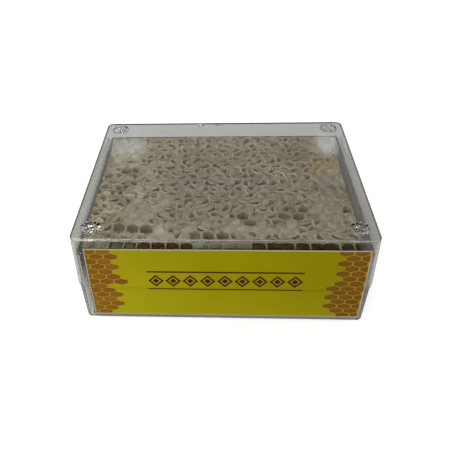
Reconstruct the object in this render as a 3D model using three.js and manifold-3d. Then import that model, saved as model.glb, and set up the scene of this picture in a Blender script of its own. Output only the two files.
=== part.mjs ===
// A shut, clear box of comb honey. A block of comb, cut to size, stands in a shallow tray. A lid
// closes it, with a skirt that reaches half way down to a shoulder round the tray, and a small
// stacking ring at each corner of its top. A paper label is stuck over the front of both.
//
// Millimetres, +Z up. The origin is on the ground under the middle of the box. +X runs along the
// box's long side and the label faces -Y.

import * as THREE from "three";
import { mergeVertices } from "three/addons/utils/BufferGeometryUtils.js";
import Module from "manifold-3d";

const wasm = await Module();
wasm.setup();

// ---- Box: driving dimensions ----
const lidLength = 110; // over the skirt, along X
const lidDepth = 88.4; // over the skirt, along Y
const boxHeight = 41.3; // from the ground to the lid's flat top
const cornerRadius = 2.8; // of the lid's upright corners, outside
const cornerSteps = 4; // facets round each upright corner
const edgeSteps = 3; // facets round a long edge
const filletSteps = 2;

const lidPlate = 0.8; // thickness of the lid's top
const lidWall = 0.6; // thickness of the skirt
const lidDraft = 0.15; // how much narrower the lid is at its top than at its edge, each side
const skirtDepth = 22.6; // from the lid's flat top to the skirt's lower edge
const lidEdgeRadius = 0.3; // round the lid's top edge

const trayGap = 0.35; // between the skirt and the tray, each side
const seatGap = 0.3; // between the skirt's edge and the tray's shoulder, which it sits on
const rimHeight = 34.1; // from the ground to the tray's rim, well below the lid's top
const trayWall = 1.0; // at the rim
const trayFloor = 1.2;
const shoulderInset = 0.46; // from the skirt's face to the tray's face below it
const trayDraft = 0.62; // how much narrower the tray is at the ground than at its shoulder, each side
const innerDraft = 0.4; // how much narrower the tray's inside is at the ground than at its rim
const trayEdgeRadius = 1.8; // round the tray's lower edge
const trayFootCorner = 0.4; // least radius of the upright corners, down at the foot
const trayFillet = 0.7; // between the tray's floor and its walls, inside
const trayInnerCorner = 1.4; // of the tray's upright corners, inside

const stackRingRadius = 3.8;
const stackRingWall = 1.1;
const stackRingHeight = 1.0;
const stackRingRoot = 0.4; // how far the ring is let into the lid's top
const stackRingBevel = 0.25;
const stackRingInset = 7.0; // from the lid's sides to a ring's centre
const stackRingSides = 20;

// ---- Label ----
const labelWidth = 102.2;
const labelCenterX = 0.9;
const labelLow = 3.0; // lower edge above the ground
const labelHigh = 37.1;
const labelThickness = 0.15;
const labelLift = 0.06; // film of glue behind the label
const labelBridge = 1.5; // how far below the shoulder the label meets the tray again

// ---- Comb: driving dimensions ----
const combLength = 101.5; // along X
const combDepth = 80.8; // along Y
const combFoot = trayFloor + 0.3;
const combTop = 35.4; // mean height of the cells' rims, just above the tray's own rim
const combCenterX = -0.75;
const combCenterY = -0.8;
const cellPitch = 5.2; // across the flats of one cell
const rowPitch = (cellPitch * Math.sqrt(3)) / 2;
const cellCorner = cellPitch / Math.sqrt(3); // from a cell's middle to its corner
const rowBend = 0.0016; // how much the rows curve back, left of the line below
const rowBendStart = -15;
const grooveDepth = 0.9; // of the cut-open cells on the block's sides
const midribDepth = 0.3; // of the same notches, in the wall between the two layers of cells
const midribThickness = 1.4;
const midribHeight = 18.6; // of its middle above the ground

const combSeed = 7;
const rimJitter = 0.3; // how unevenly the cells' corners lie
const reliefSpread = 0.6; // how much the caps and pits vary, as a share of their mean
const swell = 0.5; // height of the top's long waves

// Each kind of cell, worked from its rim inwards: a first ring of points at a share of the cell's
// width, then either a middle point or a flat honey level at a share of that ring.
const cellShapes = {
  sealed: { ringShare: 0.72, ringRise: 0.45, middleRise: 0.75 },
  torn: { ringShare: 0.78, ringRise: 0.3, middleRise: -1.2 },
  open: { ringShare: 0.84, ringRise: 0, honeyShare: 0.88, honeyRise: -2.4 },
};

// Where the cells lie open and where they are sealed, as ellipses. Elsewhere they are a mix, with
// most of the caps torn.
const openPatches = [
  { x: -36, y: -27, rx: 9, ry: 6 },
  { x: -42, y: -12, rx: 5, ry: 7 },
  { x: -39, y: 5, rx: 3.5, ry: 9 },
  { x: -8, y: -34, rx: 8, ry: 3 },
  { x: 8, y: -25, rx: 3, ry: 4 },
  { x: 27, y: -21, rx: 6, ry: 6 },
  { x: -24, y: -41, rx: 11, ry: 3 },
  { x: 31, y: -41, rx: 22, ry: 3 },
];
const sealedPatches = [
  { x: -29, y: -16, rx: 8, ry: 7 },
  { x: -22, y: -31, rx: 6, ry: 7 },
  { x: 41, y: -20, rx: 10, ry: 15 },
  { x: 45, y: 10, rx: 6, ry: 14 },
  { x: -44, y: 24, rx: 7, ry: 14 },
  { x: 0, y: -29, rx: 30, ry: 5 },
];
const mixedSealedShare = 0.22;
const mixedTornShare = 0.58;
const patchTornShare = 0.15; // of the caps in a sealed patch

// ---- Helpers ----

// A seeded source of numbers from 0 to 1.
function seededRandom(seed) {
  let state = seed;
  return () => {
    state = (state + 0x6d2b79f5) | 0;
    let mixed = Math.imul(state ^ (state >>> 15), 1 | state);
    mixed = (mixed + Math.imul(mixed ^ (mixed >>> 7), 61 | mixed)) ^ mixed;
    return ((mixed ^ (mixed >>> 14)) >>> 0) / 4294967296;
  };
}

function geometryOf(vertices, triangles) {
  const geometry = new THREE.BufferGeometry();
  geometry.setAttribute("position", new THREE.Float32BufferAttribute(vertices, 3));
  geometry.setIndex(triangles);
  return geometry;
}

function toSolid(geometry) {
  const bare = geometry.clone();
  bare.deleteAttribute("normal");
  bare.deleteAttribute("uv");
  const merged = mergeVertices(bare, 1e-4);
  return new wasm.Manifold(
    new wasm.Mesh({
      numProp: 3,
      vertProperties: new Float32Array(merged.attributes.position.array),
      triVerts: new Uint32Array(merged.index.array),
    }),
  );
}

function toGeometry(solid) {
  const mesh = solid.getMesh();
  const geometry = geometryOf(Array.from(mesh.vertProperties), Array.from(mesh.triVerts));
  geometry.computeVertexNormals();
  return geometry;
}

// A rounded rectangle as a ring of points at one height, anticlockwise from above.
function roundedRing(halfX, halfY, radius, z) {
  const ring = [];
  for (let corner = 0; corner < 4; corner++) {
    const centerX = (corner === 0 || corner === 3 ? 1 : -1) * (halfX - radius);
    const centerY = (corner < 2 ? 1 : -1) * (halfY - radius);
    for (let step = 0; step <= cornerSteps; step++) {
      const angle = ((corner + step / cornerSteps) * Math.PI) / 2;
      ring.push([centerX + radius * Math.cos(angle), centerY + radius * Math.sin(angle), z]);
    }
  }
  return ring;
}

// Skins a list of rings into one closed body. The first ring is capped facing down, the last
// facing up.
function skinRings(rings) {
  const count = rings[0].length;
  const triangles = [];
  for (let level = 0; level < rings.length - 1; level++) {
    for (let i = 0; i < count; i++) {
      const next = (i + 1) % count;
      const here = level * count;
      const above = here + count;
      triangles.push(here + i, here + next, above + next);
      triangles.push(here + i, above + next, above + i);
    }
  }
  const last = (rings.length - 1) * count;
  for (let i = 1; i < count - 1; i++) {
    triangles.push(0, i + 1, i);
    triangles.push(last, last + i, last + i + 1);
  }
  return geometryOf(rings.flat(2), triangles);
}

// The insets and heights of a quarter-round edge, from its foot to its side.
function quarterRound(radius, steps) {
  const levels = [];
  for (let step = 0; step <= steps; step++) {
    const angle = ((step / steps) * Math.PI) / 2;
    levels.push({ inset: radius * (1 - Math.sin(angle)), rise: radius * (1 - Math.cos(angle)) });
  }
  return levels;
}

function namedMesh(name, geometry, material) {
  const mesh = new THREE.Mesh(geometry, material);
  mesh.name = name;
  return mesh;
}

// ---- Tray ----
const skirtEdge = boxHeight - skirtDepth;
const shoulderHeight = skirtEdge - seatGap;

// A ring round the tray's walls, set in from the lid's sides.
function trayRing(inset, radius, z) {
  return roundedRing(lidLength / 2 - inset, lidDepth / 2 - inset, radius, z);
}

// How far the tray's face below the shoulder lies in from the lid's sides, at a height.
function faceInset(z) {
  return shoulderInset + trayDraft * (1 - z / shoulderHeight);
}

function makeTray() {
  const shoulderCorner = cornerRadius - shoulderInset;
  const rimInset = lidDraft + lidWall + trayGap;
  const rimCorner = cornerRadius - lidWall - trayGap;
  const innerInset = rimInset + trayWall;
  const rings = [];
  for (const { inset, rise } of quarterRound(trayEdgeRadius, edgeSteps)) {
    const radius = Math.max(shoulderCorner - inset, trayFootCorner);
    rings.push(trayRing(faceInset(rise) + inset, radius, rise));
  }
  rings.push(trayRing(shoulderInset, shoulderCorner, shoulderHeight));
  rings.push(trayRing(rimInset, rimCorner, shoulderHeight));
  rings.push(trayRing(rimInset, rimCorner, rimHeight));
  rings.push(trayRing(innerInset, trayInnerCorner, rimHeight));
  for (const { inset, rise } of quarterRound(trayFillet, filletSteps).reverse()) {
    const z = trayFloor + rise;
    const drawn = innerDraft * (1 - z / rimHeight) + inset;
    rings.push(trayRing(innerInset + drawn, trayInnerCorner, z));
  }
  return skinRings(rings);
}

// ---- Lid ----
function makeLid() {
  const halfX = lidLength / 2;
  const halfY = lidDepth / 2;
  const underside = boxHeight - lidPlate;
  const innerRadius = cornerRadius - lidWall;
  const topX = halfX - lidDraft;
  const topY = halfY - lidDraft;
  const rings = [
    roundedRing(topX - lidWall, topY - lidWall, innerRadius, underside),
    roundedRing(halfX - lidWall, halfY - lidWall, innerRadius, skirtEdge),
    roundedRing(halfX, halfY, cornerRadius, skirtEdge),
  ];
  for (const { inset, rise } of quarterRound(lidEdgeRadius, edgeSteps).reverse()) {
    rings.push(roundedRing(topX - inset, topY - inset, cornerRadius - inset, boxHeight - rise));
  }
  let lid = toSolid(skinRings(rings));
  for (const sideX of [-1, 1]) {
    for (const sideY of [-1, 1]) {
      const ring = makeStackRing();
      ring.translate(sideX * (halfX - stackRingInset), sideY * (halfY - stackRingInset), boxHeight);
      lid = lid.add(toSolid(ring));
    }
  }
  return toGeometry(lid);
}

// A low round wall, let into the lid's top.
function makeStackRing() {
  const outer = stackRingRadius;
  const inner = stackRingRadius - stackRingWall;
  const foot = -stackRingRoot;
  const shoulder = stackRingHeight - stackRingBevel;
  const profile = [
    [inner, foot],
    [outer, foot],
    [outer, shoulder],
    [outer - stackRingBevel, stackRingHeight],
    [inner + stackRingBevel, stackRingHeight],
    [inner, shoulder],
    [inner, foot],
  ].map(([x, y]) => new THREE.Vector2(x, y));
  const ring = new THREE.LatheGeometry(profile, stackRingSides);
  ring.rotateX(Math.PI / 2);
  return ring;
}

// ---- Label ----
// Seen from the side, it runs down the skirt's face, over the seam and down the tray's face.
function makeLabel() {
  const faceHeight = boxHeight - lidEdgeRadius - skirtEdge;
  const bridgeEnd = shoulderHeight - labelBridge;
  const route = [
    [(lidDraft * (labelHigh - skirtEdge)) / faceHeight, labelHigh],
    [0, skirtEdge],
    [faceInset(bridgeEnd), bridgeEnd],
    [faceInset(labelLow), labelLow],
  ].map(([inset, z]) => [inset - lidDepth / 2 - labelLift, z]);
  const back = route.map(([y, z]) => new THREE.Vector2(y, z));
  const front = route.map(([y, z]) => new THREE.Vector2(y - labelThickness, z));
  const outline = new THREE.Shape([...back, ...front.reverse()]);
  const sheet = new THREE.ExtrudeGeometry(outline, { depth: labelWidth, bevelEnabled: false });
  const alongX = new THREE.Matrix4().makeBasis(
    new THREE.Vector3(0, 1, 0),
    new THREE.Vector3(0, 0, 1),
    new THREE.Vector3(1, 0, 0),
  );
  sheet.applyMatrix4(alongX);
  sheet.translate(labelCenterX - labelWidth / 2, 0, 0);
  return sheet;
}

// ---- Comb ----
function inPatch(patches, x, y) {
  return patches.some((patch) => {
    return ((x - patch.x) / patch.rx) ** 2 + ((y - patch.y) / patch.ry) ** 2 < 1;
  });
}

function cellKind(x, y, draw) {
  if (inPatch(openPatches, x, y)) return "open";
  if (inPatch(sealedPatches, x, y)) return draw < patchTornShare ? "torn" : "sealed";
  if (draw < mixedSealedShare) return "sealed";
  return draw < mixedSealedShare + mixedTornShare ? "torn" : "open";
}

// Where a row runs, once it is bent.
function bentY(x, y) {
  return y + rowBend * Math.min(x - rowBendStart, 0) ** 2;
}

// Long, low waves in the comb's top.
function topHeight(x, y) {
  return combTop + (swell / 2) * (Math.sin(x / 13 + 1) + Math.cos(y / 11 - x / 29));
}

// The cells as one slab, wider than the block, with a flat foot. Neighbours share their corners.
function makeCellSlab() {
  const random = seededRandom(combSeed);
  const vertices = [];
  const triangles = [];
  const cornerIndex = new Map();
  const edgeOwners = new Map();
  const foot = combFoot - 1; // the block's own foot cuts this slab off higher up

  function addVertex(x, y, z) {
    vertices.push(x, y, z);
    return vertices.length / 3 - 1;
  }

  // A cell corner's top vertex, with its foot vertex straight after it.
  function addCorner(x, y) {
    const key = `${Math.round((2 * x) / cellPitch)},${Math.round((2 * y) / cellCorner)}`;
    if (!cornerIndex.has(key)) {
      const shiftX = (random() - 0.5) * rimJitter;
      const shiftY = (random() - 0.5) * rimJitter;
      const z = topHeight(x, y) + (random() - 0.5) * rimJitter;
      cornerIndex.set(key, addVertex(x + shiftX, bentY(x, y) + shiftY, z));
      addVertex(x + shiftX, bentY(x, y) + shiftY, foot);
    }
    return cornerIndex.get(key);
  }

  // A ring of six vertices inside a cell, and the band that joins it to the ring around it.
  function addInnerRing(outer, x, y, share, z) {
    const inner = outer.map((corner) => {
      const towardsX = x + (vertices[3 * corner] - x) * share;
      const towardsY = y + (vertices[3 * corner + 1] - y) * share;
      return addVertex(towardsX, towardsY, z);
    });
    for (let i = 0; i < 6; i++) {
      const next = (i + 1) % 6;
      triangles.push(outer[i], outer[next], inner[next]);
      triangles.push(outer[i], inner[next], inner[i]);
    }
    return inner;
  }

  function addFan(ring, x, y, z) {
    const middle = addVertex(x, y, z);
    for (let i = 0; i < 6; i++) {
      triangles.push(ring[i], ring[(i + 1) % 6], middle);
    }
  }

  function addCell(x, y) {
    const corners = [];
    for (let i = 0; i < 6; i++) {
      const angle = ((30 + 60 * i) * Math.PI) / 180;
      corners.push(addCorner(x + cellCorner * Math.cos(angle), y + cellCorner * Math.sin(angle)));
    }
    const rim = topHeight(x, y);
    const middleY = bentY(x, y);
    const shape = cellShapes[cellKind(x, middleY, random())];
    const relief = 1 + (random() - 0.5) * reliefSpread;
    const ringZ = rim + shape.ringRise * relief;
    const ring = addInnerRing(corners, x, middleY, shape.ringShare, ringZ);
    if (shape.honeyShare) {
      const honeyZ = rim + shape.honeyRise * relief;
      const honey = addInnerRing(ring, x, middleY, shape.honeyShare, honeyZ);
      for (let i = 1; i < 5; i++) {
        triangles.push(honey[0], honey[i], honey[i + 1]);
      }
    } else {
      addFan(ring, x, middleY, rim + shape.middleRise * relief);
    }
    for (let i = 1; i < 5; i++) {
      triangles.push(corners[0] + 1, corners[i + 1] + 1, corners[i] + 1);
    }
    for (let i = 0; i < 6; i++) {
      const from = corners[i];
      const to = corners[(i + 1) % 6];
      if (!edgeOwners.delete(`${to},${from}`)) edgeOwners.set(`${from},${to}`, [from, to]);
    }
  }

  const rows = Math.ceil(combDepth / 2 / rowPitch) + 1;
  const columns = Math.ceil(combLength / 2 / cellPitch) + 1;
  for (let row = -rows; row <= rows; row++) {
    const shift = row % 2 === 0 ? 0 : cellPitch / 2;
    for (let column = -columns; column <= columns; column++) {
      addCell(column * cellPitch + shift, row * rowPitch);
    }
  }
  // What is left in edgeOwners is the slab's outline: it gets a wall down to the foot.
  for (const [from, to] of edgeOwners.values()) {
    triangles.push(from, from + 1, to + 1);
    triangles.push(from, to + 1, to);
  }
  return geometryOf(vertices, triangles);
}

// The block's outline, notched where the knife has laid the cells open. phase shifts the notches
// by a share of a cell.
function blockOutline(phase, depth) {
  const sides = [
    { length: combLength, out: combDepth / 2, step: cellPitch, turn: 0 },
    { length: combDepth, out: combLength / 2, step: rowPitch, turn: 1 },
    { length: combLength, out: combDepth / 2, step: cellPitch, turn: 2 },
    { length: combDepth, out: combLength / 2, step: rowPitch, turn: 3 },
  ];
  const points = [];
  for (const { length, out, step, turn } of sides) {
    const notches = Math.round(length / step) - 1;
    const start = (-notches * step) / 2 + phase * step;
    const along = [[-length / 2, -out]];
    for (let i = 0; i < notches; i++) {
      along.push([start + (i + 0.5) * step, -out + depth]);
      if (i < notches - 1) along.push([start + (i + 1) * step, -out]);
    }
    const angle = (turn * Math.PI) / 2;
    for (const [x, y] of along) {
      const turnedX = x * Math.cos(angle) - y * Math.sin(angle);
      const turnedY = x * Math.sin(angle) + y * Math.cos(angle);
      points.push(new THREE.Vector2(turnedX + combCenterX, turnedY + combCenterY));
    }
  }
  return new THREE.Shape(points);
}

function layer(outline, from, to) {
  const geometry = new THREE.ExtrudeGeometry(outline, { depth: to - from, bevelEnabled: false });
  geometry.translate(0, 0, from);
  return toSolid(geometry);
}

function makeComb() {
  const midribLow = midribHeight - midribThickness / 2;
  const midribHigh = midribHeight + midribThickness / 2;
  const ceiling = combTop + 5; // clear of every cap
  const weld = 0.01; // overlap that joins the layers
  const below = layer(blockOutline(0.25, grooveDepth), combFoot, midribLow + weld);
  const midrib = layer(blockOutline(0, midribDepth), midribLow, midribHigh);
  const above = layer(blockOutline(0, grooveDepth), midribHigh - weld, ceiling);
  const block = below.add(midrib).add(above);
  return toGeometry(toSolid(makeCellSlab()).intersect(block));
}

// ---- The box ----
const clearPlastic = {
  color: 0xdfe5e6,
  roughness: 0.08,
  metalness: 0,
  transparent: true,
  opacity: 0.3,
};
const trayMaterial = new THREE.MeshStandardMaterial(clearPlastic);
const lidMaterial = new THREE.MeshStandardMaterial(clearPlastic);
const combMaterial = new THREE.MeshStandardMaterial({ color: 0x968f78, roughness: 0.55, metalness: 0 });
const labelMaterial = new THREE.MeshStandardMaterial({ color: 0xc9bd1c, roughness: 0.5, metalness: 0 });

const honeyBox = new THREE.Group();
honeyBox.add(namedMesh("base_tray", makeTray(), trayMaterial));
honeyBox.add(namedMesh("lid", makeLid(), lidMaterial));
honeyBox.add(namedMesh("comb", makeComb(), combMaterial));
honeyBox.add(namedMesh("label", makeLabel(), labelMaterial));

export default honeyBox;
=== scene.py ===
"""The looks of a shut, clear box of comb honey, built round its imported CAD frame.

Lengths in this script are millimetres. They become metres where a mesh, material, light or camera
is made.
"""

import math
from types import SimpleNamespace

import bpy
from mathutils import Matrix, Vector, noise
from mathutils.bvhtree import BVHTree
from mathutils.kdtree import KDTree


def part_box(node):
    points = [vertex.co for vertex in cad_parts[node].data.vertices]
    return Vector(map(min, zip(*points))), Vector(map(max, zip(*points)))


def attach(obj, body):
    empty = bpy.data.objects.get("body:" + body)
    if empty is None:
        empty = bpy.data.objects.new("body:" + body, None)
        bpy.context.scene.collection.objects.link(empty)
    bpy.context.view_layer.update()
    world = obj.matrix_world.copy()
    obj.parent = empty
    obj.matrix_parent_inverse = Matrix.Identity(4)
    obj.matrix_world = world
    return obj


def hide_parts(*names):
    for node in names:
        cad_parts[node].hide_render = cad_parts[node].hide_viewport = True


MM = 0.001

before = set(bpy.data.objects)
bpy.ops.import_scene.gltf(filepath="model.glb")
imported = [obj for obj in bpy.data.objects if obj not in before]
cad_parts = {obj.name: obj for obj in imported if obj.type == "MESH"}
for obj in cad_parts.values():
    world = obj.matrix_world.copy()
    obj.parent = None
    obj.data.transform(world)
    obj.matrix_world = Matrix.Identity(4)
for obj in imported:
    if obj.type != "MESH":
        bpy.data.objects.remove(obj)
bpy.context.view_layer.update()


def node_box(node):
    """The lowest and highest corners of a CAD node."""
    return [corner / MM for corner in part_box(node)]


lid_low, lid_high = node_box("lid")
tray_high = node_box("base_tray")[1]
comb_low, comb_high = node_box("comb")
label_low, label_high = node_box("label")

# ---- Box, as in the CAD part ----
ring_height = 1.0  # of the stacking rings above the lid's flat top
ring_radius = 3.8
ring_wall = 1.1
ring_inset = 7.0  # from the lid's sides to a ring's centre
ring_root = 0.4
lid_top = lid_high.z - ring_height
lid_plate = 0.8
lid_wall = 0.6
lid_draft = 0.15
lid_edge_radius = 0.3
box_corner = 2.8
tray_wall = 1.0
tray_gap = 0.35
tray_floor = 1.2
seat_gap = 0.3
shoulder_inset = lid_high.x - tray_high.x
tray_draft = 0.62
inner_draft = 0.4
tray_edge_radius = 1.8
tray_fillet = 0.7
skirt_edge = lid_low.z
shoulder_height = skirt_edge - seat_gap
rim_height = tray_high.z

# ---- Box, in the scene alone ----
corner_steps = 10
support = 0.35  # flat margin beside each rounding, which keeps the flat faces flat
least_corner = 0.3
ring_sides = 88
ring_bevel = 0.3
ring_teeth = 11
tooth_depth = 0.22
pad_reach = 2.1  # of the knurled pad inside each ring
pad_pitch = 0.95
pad_turn = 20  # degrees
pad_profile = [(0.46, -0.3), (0.46, 0.0), (0.12, 0.5)]  # half width in pitches, height over the lid
# The scars of the moulding on the lid's back edge: middle x and y, half length along x and y.
scars = [(-10.2, 41.8, 2.0, 1.4), (-2.2, 41.2, 1.8, 0.55)]
scar_profile = [(1.0, -0.3), (1.0, 0.0), (0.85, 0.3), (0.5, 0.45), (0.25, 0.15)]
scar_sides = 24

# ---- Plastic's looks ----
clear_tint = (0.955, 0.968, 0.965)
# Painted shade: the top of the tray's rim is tinted dark, for the dark line its edge shows from above.
rim_painted_shade = (0.3, 0.29, 0.27)
rim_shade_depth = 0.45  # how far down the tray's rim is painted dark
edge_highlight_y = lid_low.y + lid_draft + lid_edge_radius  # the lid's front edge is painted pale from here, a painted highlight
edge_highlight_z = lid_top - lid_edge_radius  # and from here up
edge_highlight_right = (25.0, 45.0)  # between these places along X the painted highlight grows denser
side_haze = 0.06  # of fine scratches on the side walls
side_reach = 3.0  # how near the lid's sides a place counts as on a side wall
low_haze = 2.2  # how many times as much there is below the tray's rim
# Milky ellipses on the lid: middle x and y, half length along x and y, and how dense.
blooms = [(-42.5, 22.5, 7.5, 8, 0.12), (45.5, 24, 3.5, 9, 0.27)]

# ---- Comb, as in the CAD part ----
comb_length = comb_high.x - comb_low.x
comb_depth = comb_high.y - comb_low.y
comb_center_x = (comb_high.x + comb_low.x) / 2
comb_center_y = (comb_high.y + comb_low.y) / 2
comb_foot = comb_low.z
comb_top = 35.4  # mean height of the cells' rims
cell_pitch = 5.2
row_pitch = cell_pitch * math.sqrt(3) / 2
cell_corner = cell_pitch / math.sqrt(3)
row_bend = 0.0016
row_bend_start = -15  # left of here the rows bend toward the back
midrib_height = 18.6
midrib_thickness = 1.4
comb_seed = 7
rim_jitter = 0.3
relief_spread = 0.6
swell = 0.5
mixed_sealed_share = 0.22
mixed_torn_share = 0.58
patch_torn_share = 0.15
# Ellipses: middle x, middle y, half length along x, half length along y.
open_patches = [
    (-36, -27, 9, 6),
    (-42, -12, 5, 7),
    (-39, 5, 3.5, 9),
    (-8, -34, 8, 3),
    (8, -25, 3, 4),
    (27, -21, 6, 6),
    (-24, -41, 11, 3),
    (31, -41, 22, 3),
]
sealed_patches = [
    (-29, -16, 8, 7),
    (-22, -31, 6, 7),
    (41, -20, 10, 15),
    (45, 10, 6, 14),
    (-44, 24, 7, 14),
    (0, -29, 30, 5),
]

# ---- Comb, in the scene alone ----
# Where the cells are quite open, and where they are all shut. The other open cells keep torn caps.
clear_patches = [(-33, -30.5, 9, 2.5), (-5.5, -36, 7.5, 2.5), (8, -25, 3, 4), (27, -21, 6, 6)]
clear_patches += [(-26, -41, 14.5, 4), (31, -41, 22, 3)]
calm_patches = [(-32, -22, 8, 6), (-44, 30, 9, 9), (45, 30, 6, 9), (44, 6, 7, 10)]
calm_patches += [(-47, -41, 6, 3), (0, -41, 8, 3)]
calm_back = 2.5  # the cells this near the back are shut too
warp_grows = (-34, -12)  # between these places along Y the cells go from calm to fully warped
front_shift = 1.45  # how far the rows near the front edge are pushed back
front_shift_start = -30
front_corner = -39.0  # in front of here the cells are drawn out toward the knife's cut
front_stretch = 0.75
tall_patches = [(-33, -31, 9), (-5.5, -36, 8)]  # middle x and y, and half length along x
tall_stretch = 0.4  # how much longer the cells there are toward the front and the back
tall_reach = 4.5  # how far that goes along Y
tall_fade = 6  # over how much of X it ends
side_steps = 4  # points along each side of a cell
apothem = cell_pitch / 2
sealed_shares = (0.93, 0.84, 0.72, 0.58, 0.44, 0.30, 0.15)
# The rings inside a torn or open cell's border: their parts, and how far out each lies, where the
# border is 1 and the opening's edge is 0.
opened_shares = [("cap", 0.85), ("cap", 0.5), ("cap", 0.2), ("lip", 0.0), ("lip", -0.07)]
opened_shares += [("wall", -0.15), ("floor", -0.35)]
open_floor = 1.9  # depth of an open cell's honey below its rim
least_wall = 0.22
hole_radial = 0.62  # a torn cap's opening: its half width and half length in cell radii
hole_across = 0.95
hole_middle = 0.46
torn_depth = 0.75  # how deep a torn cell's bottom lies, where an open one is 1
torn_stain = 0.75  # how brown a torn cell is inside, where an open one is 1
shade_beside_flake = 0.38  # how dark a torn cap is painted where its flake doesn't cover it, a painted shade round the flake
widest_gape = 1.4  # of the torn caps over open cells, where 1 is usual
cracked_gape = 0.75  # of the caps that are only cracked
patch_gape = 0.5  # the same in a sealed patch
patch_crack_level = 0.12
wall_share = 0.89  # how much of a cell's width its hollow takes
hollow_steps = 3  # points along each side of a hollow
hollow_blunt = 0.8
honey_rise = 0.05  # above an open cell's rim
wide_from = 8  # right of here the knife took the wall between some pairs of the front cells
wide_reach = 1.2
front_row = 3  # how near the block's front the middles of the front cells lie
honey_recess = 0.35  # how far the honey stands back from the knife's cut
# Marks on every point: pale rims (thin wax and painted highlight), honey stain with painted shade, and each
# cell's tone.
mark_names = ("rim", "stain_and_shade", "tone")
mark_reach = 0.7  # how far from the comb's top its marks still hold
flake_sides = 16
flake_radius = 2.35
flake_thickness = 0.14
flake_shares = (0.12, 0.45, 0.75, 0.93, 1.0)
curl_step = 0.4  # between the points of a curl of wax
curl_half_width = 0.17
curl_rise = 0.42
curl_share = 0.7  # of the torn cells that have one
curl_least = 5  # points of its path, or it is left out
palest_curls = (16, 8)  # the place where the curls are palest
curl_fade = 30  # how far round it that they fade
# Long rims round wide cells, as arcs: middle x and y, half length along x and y, start and end in degrees.
wide_rims = [
    (-45, -4.5, 6.5, 4.0, 200, 340),
    (-45, -16.5, 5.6, 4.2, 205, 350),
    (-47.5, -11, 3.0, 4.4, 60, 200),
    (-34, -5.5, 6.0, 3.6, 40, 130),
    (-26, -13, 3.2, 4.4, 150, 290),
    (-31, -5, 5.0, 3.4, 215, 320),
    (6, 6, 3.2, 4.2, 60, 300),
    (17, 11, 3.6, 3.0, -60, 140),
    (12, -6, 3.0, 4.4, 100, 290),
    (24, 2, 2.8, 3.6, -20, 170),
]
# Stains on the wax, and some painted shade: middle x and y, half length along x and y, how strong, and the
# colour.
wax_stains_and_shade = [
    (-38, 5, 16, 34, 0.75, (0.44, 0.39, 0.255)),
    (-28, -19, 9, 8, 0.75, (0.27, 0.24, 0.145)),
    (6, -32, 40, 5, 0.5, (0.37, 0.33, 0.22)),
    (0, 33, 34, 6, 0.6, (0.42, 0.37, 0.23)),
    (-22, -33, 7, 4, 0.6, (0.46, 0.43, 0.31)),
    (43, 14, 7, 6, 0.85, (0.38, 0.29, 0.075)),
    (32, 23, 6, 10, 0.85, (0.10, 0.06, 0.02)),
    (41, -2, 7, 6, 0.6, (0.235, 0.205, 0.19)),
    (51, -12, 2, 8, 0.7, (0.13, 0.10, 0.07)),
    (-40, 9.5, 4, 3.5, 1.0, (0.05, 0.032, 0.008)),
    (-39.5, 0, 3, 3, 1.0, (0.055, 0.037, 0.012)),
    (-43, -5.5, 4, 2.5, 0.95, (0.065, 0.045, 0.018)),
    (-40.5, -13, 4, 3, 0.9, (0.085, 0.068, 0.03)),
    (-41, -28, 5, 6, 0.6, (0.15, 0.105, 0.06)),
    # Painted shade: a dark line along the comb's back edge, under the tray's rim.
    (0, 40, 60, 0.8, 0.6, (0.10, 0.08, 0.05)),
    (2, -2, 22, 12, 0.5, (0.25, 0.21, 0.195)),
    (9.5, 5.5, 6, 4.5, 0.75, (0.06, 0.045, 0.04)),
    (-16.5, 5.5, 6, 4, 0.5, (0.14, 0.115, 0.09)),
    (-8, -36, 7, 6, 0.7, (0.28, 0.31, 0.22)),
    (-46, -24, 7, 14, 0.6, (0.22, 0.215, 0.06)),
    (-47.5, -20.5, 4.5, 9, 0.85, (0.56, 0.52, 0.31)),
    (-42, -39, 8, 4, 0.8, (0.14, 0.125, 0.045)),
    (-43.5, 30, 9, 9, 0.7, (0.44, 0.42, 0.33)),
    (45.5, 30, 5, 10, 0.8, (0.48, 0.45, 0.38)),
    # Painted shade: the front strip, darkened as if in the shadow of the front wall.
    (6, -42, 60, 3.0, 1.0, (0.06, 0.053, 0.025)),
    (-43, -42, 5, 3.0, 0.9, (0.16, 0.14, 0.05)),
    (-50, -42, 3, 3.0, 0.9, (0.10, 0.08, 0.062)),
    (49, -42, 3, 3.0, 0.9, (0.09, 0.068, 0.055)),
]
speckled_patches = [(-9, 2, 9, 5), (-24, 3, 4, 4), (42, -6, 4, 3)]
streaked_patch = (40, 12, 8, 9)
olive_honey = (-38.5, -41, 7.5, 6)

# ---- Label ----
sheet_thickness = 0.15
sheet_lift = 0.06  # for the glue behind it
sheet_bridge = 1.5  # how far below the tray's shoulder the sheet meets the tray
sheet_columns = 60
sheet_rows = 40
label_border = 0.4  # pale line round the printed field
print_cell = (5.4, 2.45)  # a printed hexagon's width, and the distance between rows
print_drop = 1.05  # from the label's top down to the middles of its first row
print_edge = (0.47, 0.43)  # where a hexagon's brown begins and is full, in widths from its middle
print_frame = (0.60, 0.54)  # the same for the amber line round it
label_ends = (13.5, 14.5)  # how far the printed cells reach in from the left and the right
end_ragged = 5.5  # how much less far some of them reach
emblem_pitch = 6.4  # between the small diamonds in the label's middle
emblem_reach = 4.5  # how many of them there are on each side of the middle one, and a half
emblem_rise = 2.0  # of their row above the label's middle
diamond_size = 0.38  # of a diamond's outline, its line and its core, in pitches
diamond_line = 0.08
diamond_core = 0.2
rule_rise = 4.4  # of each thin rule above or below that row
rule_line = 0.36

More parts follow.
